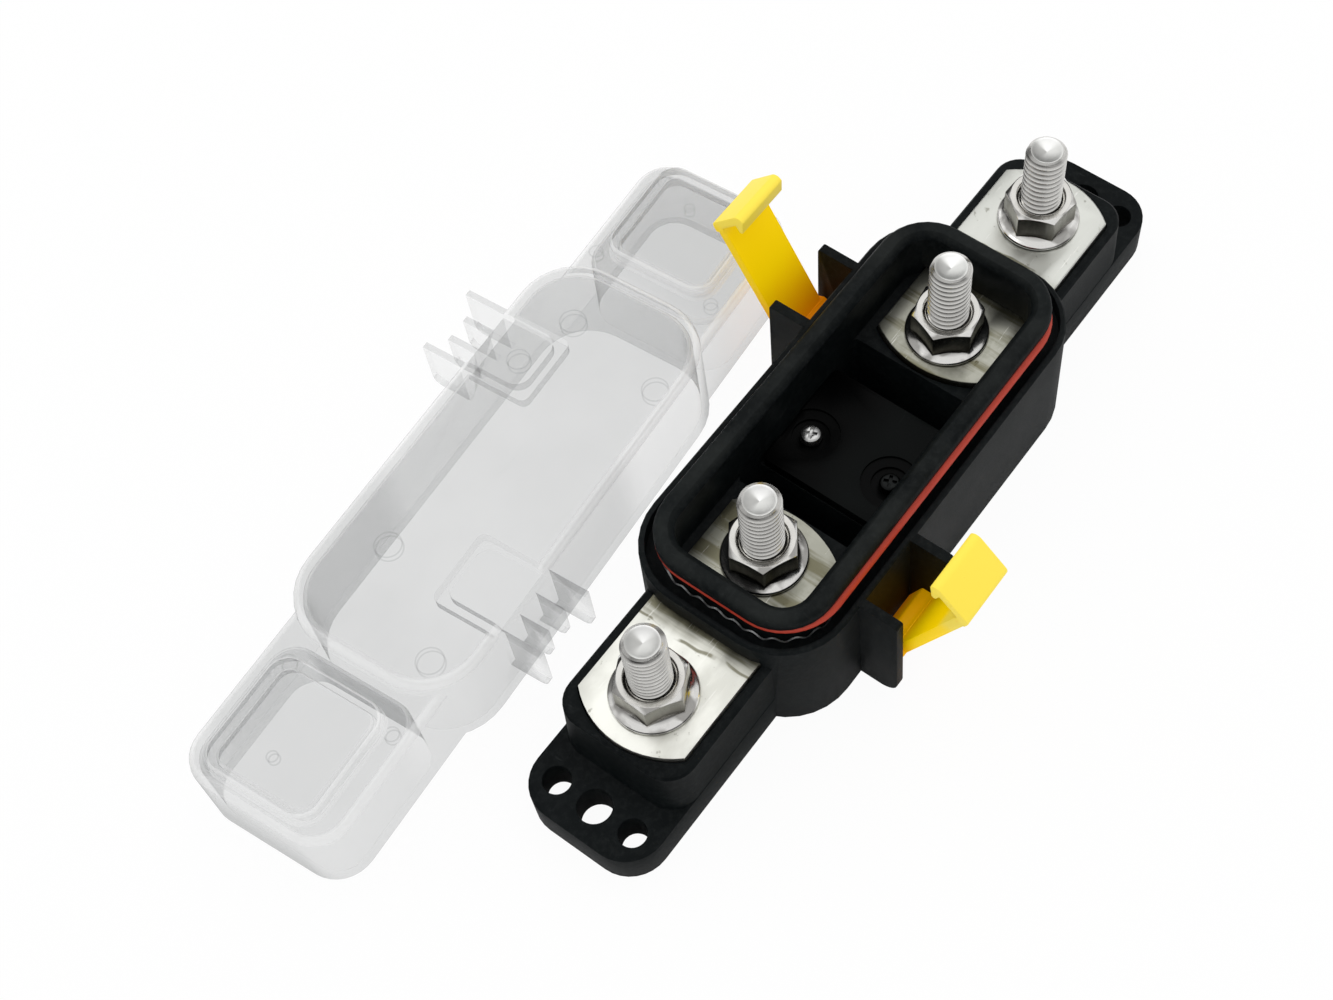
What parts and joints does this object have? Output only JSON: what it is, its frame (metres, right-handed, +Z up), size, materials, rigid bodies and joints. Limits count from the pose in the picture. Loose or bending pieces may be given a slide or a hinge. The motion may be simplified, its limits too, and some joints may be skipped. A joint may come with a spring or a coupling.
{
  "type": "class t fuse block",
  "caption": "Class T fuse block: moulded housing with bus plates, studs and flange nuts, leaning side latches and a clear cover laid beside it.",
  "frame": {"origin": "centre of the housing's underside, on the panel plane", "axes": "+X along the block towards its far end, +Z up away from the panel, +Y towards the side where the cover lies"},
  "size_m": [0.2427, 0.1442, 0.054],
  "materials": {
    "housing_nylon": "matte moulded",
    "insert_nylon": "matte moulded",
    "screw_steel": "zinc plated",
    "bus_plate_metal": "tin plated copper, scuffed",
    "stud_steel": "bright",
    "nut_steel": "bright",
    "gasket_rubber": "satin",
    "latch_yellow": "satin",
    "cover_clear": "clear"
  },
  "bodies": {
    "block": {"base_housing": "housing_nylon", "chamber_insert": "insert_nylon", "chamber_screw_back": "screw_steel", "chamber_screw_front": "screw_steel", "bus_plate_near": "bus_plate_metal", "bus_plate_far": "bus_plate_metal", "stud_outer_near": "stud_steel", "stud_inner_near": "stud_steel", "stud_inner_far": "stud_steel", "stud_outer_far": "stud_steel", "flange_nut_outer_near": "nut_steel", "flange_nut_inner_near": "nut_steel", "flange_nut_inner_far": "nut_steel", "flange_nut_outer_far": "nut_steel", "gasket": "gasket_rubber", "cover": "cover_clear"},
    "back_latch": {"latch_back": "latch_yellow"},
    "front_latch": {"latch_front": "latch_yellow"}
  },
  "joints": [
    {"name": "back_latch_hinge", "type": "hinge", "parent": "block", "child": "back_latch", "pos_m": [0.0246, 0.0291, 0.0088], "axis": [1, 0, 0], "range_deg": [-10, 23]},
    {"name": "front_latch_hinge", "type": "hinge", "parent": "block", "child": "front_latch", "pos_m": [-0.0246, -0.0291, 0.0088], "axis": [-1, 0, 0], "range_deg": [-14.4, 18.6]}
  ]
}
